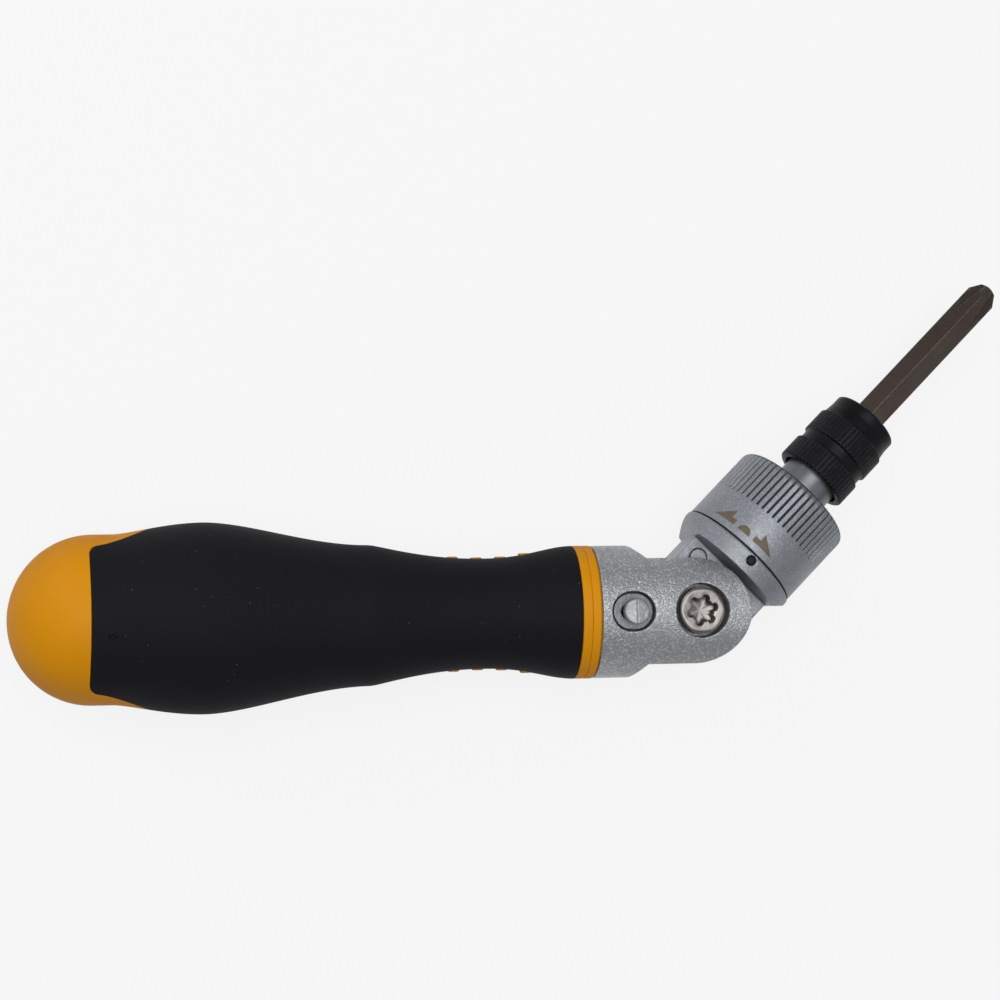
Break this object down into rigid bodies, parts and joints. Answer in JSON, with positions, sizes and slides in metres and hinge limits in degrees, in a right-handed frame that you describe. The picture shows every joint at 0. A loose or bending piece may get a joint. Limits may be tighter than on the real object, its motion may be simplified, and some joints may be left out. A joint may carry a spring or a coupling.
{
  "type": "ratcheting screwdriver",
  "caption": "Ratcheting screwdriver with a domed soft-grip handle, a lockable pivoting head, a fluted direction ring and a quick-release chuck with a cross-tip bit.",
  "frame": {"origin": "apex of the domed end of the handle, on the handle axis", "axes": "+X along the handle axis towards the head, +Y in the plane the head swings in, towards the side it is bent to, +Z along the pivot axis, out of the cheek that shows the pivot screw and the lock button"},
  "size_m": [0.1997, 0.0851, 0.037],
  "materials": {
    "yellow_plastic": "moulded plastic, satin",
    "black_rubber": "soft moulded rubber, satin",
    "cast_zinc": "die-cast zinc with a bead-blasted grain",
    "screw_steel": "plated steel",
    "spindle_steel": "satin turned steel",
    "dark_steel": "hardened dark steel",
    "spring_steel": "bright spring steel",
    "brass": "plain sheet brass",
    "black_paint": "black paint",
    "brown_paint": "brown fill paint",
    "black_oxide": "black oxide, satin gloss",
    "bronzed_steel": "bronze-brown tempered steel"
  },
  "bodies": {
    "handle": {"handle_core": "yellow_plastic", "grip_sleeve": "black_rubber", "front_collar": "yellow_plastic", "yoke": "cast_zinc", "pivot_screw": "screw_steel", "pivot_nut": "screw_steel", "pivot_washers": "brass", "lock_spring": "spring_steel"},
    "lock_slider": {"lock_button": "screw_steel", "lock_bolt": "dark_steel"},
    "head": {"head_body": "cast_zinc", "index_pin": "black_paint", "front_bush": "dark_steel", "thrust_washer": "brass", "detent_spring": "spring_steel", "stop_pin": "spring_steel", "pawl_springs": "spring_steel"},
    "selector": {"selector_ring": "cast_zinc", "direction_marks": "brown_paint"},
    "forward_pawl": {"pawl_forward": "dark_steel"},
    "reverse_pawl": {"pawl_reverse": "dark_steel"},
    "detent": {"detent_ball": "spring_steel"},
    "spindle": {"spindle": "spindle_steel", "ratchet_gear": "dark_steel", "socket_magnet": "spring_steel", "chuck_circlip": "dark_steel", "chuck_spring": "spring_steel"},
    "sleeve": {"chuck_sleeve": "black_oxide"},
    "ball": {"chuck_ball": "spring_steel"},
    "bit": {"screw_bit": "bronzed_steel"}
  },
  "joints": [
    {"name": "head_pivot", "type": "hinge", "parent": "handle", "child": "head", "pos_m": [0.1331, 0, 0], "axis": [0, 0, 1], "range_deg": [-135, 45]},
    {"name": "lock_slide", "type": "slide", "parent": "handle", "child": "lock_slider", "axis": [-1, 0, 0], "range_m": [-0.00065, 0.0012], "stiffness_N_per_m": 400, "deforming": ["lock_spring"]},
    {"name": "selector_turn", "type": "hinge", "parent": "head", "child": "selector", "pos_m": [0.15007, 0.01697, 0], "axis": [0.7071, 0.7071, 0], "range_deg": [0, 44]},
    {"name": "forward_pawl_slide", "type": "slide", "parent": "head", "child": "forward_pawl", "axis": [-0.6124, 0.6124, 0.5], "range_m": [0, 0.0011], "deforming": ["pawl_springs"]},
    {"name": "reverse_pawl_slide", "type": "slide", "parent": "head", "child": "reverse_pawl", "axis": [-0.3536, 0.3536, -0.866], "range_m": [0, 0.0011]},
    {"name": "detent_slide", "type": "slide", "parent": "head", "child": "detent", "axis": [-0.7071, -0.7071, 0], "range_m": [-0.0003, 0.0003], "stiffness_N_per_m": 200, "deforming": ["detent_spring"]},
    {"name": "spindle_spin", "type": "hinge", "parent": "head", "child": "spindle", "pos_m": [0.1529, 0.0198, 0], "axis": [0.7071, 0.7071, 0], "continuous": true},
    {"name": "sleeve_slide", "type": "slide", "parent": "spindle", "child": "sleeve", "axis": [-0.7071, -0.7071, 0], "range_m": [0, 0.0025], "stiffness_N_per_m": 500, "deforming": ["chuck_spring"]},
    {"name": "ball_slide", "type": "slide", "parent": "spindle", "child": "ball", "axis": [-0.2418, 0.2418, -0.9397], "range_m": [0, 0.0005]},
    {"name": "bit_slide", "type": "slide", "parent": "spindle", "child": "bit", "axis": [0.7071, 0.7071, 0], "range_m": [0, 0.02]}
  ],
  "couplings": [
    {"joint": "forward_pawl_slide", "follows": "selector_turn", "m_per_rad": 0.001432},
    {"joint": "reverse_pawl_slide", "follows": "selector_turn", "m_per_rad": 0.001432},
    {"joint": "ball_slide", "follows": "sleeve_slide", "ratio": 0.2}
  ]
}
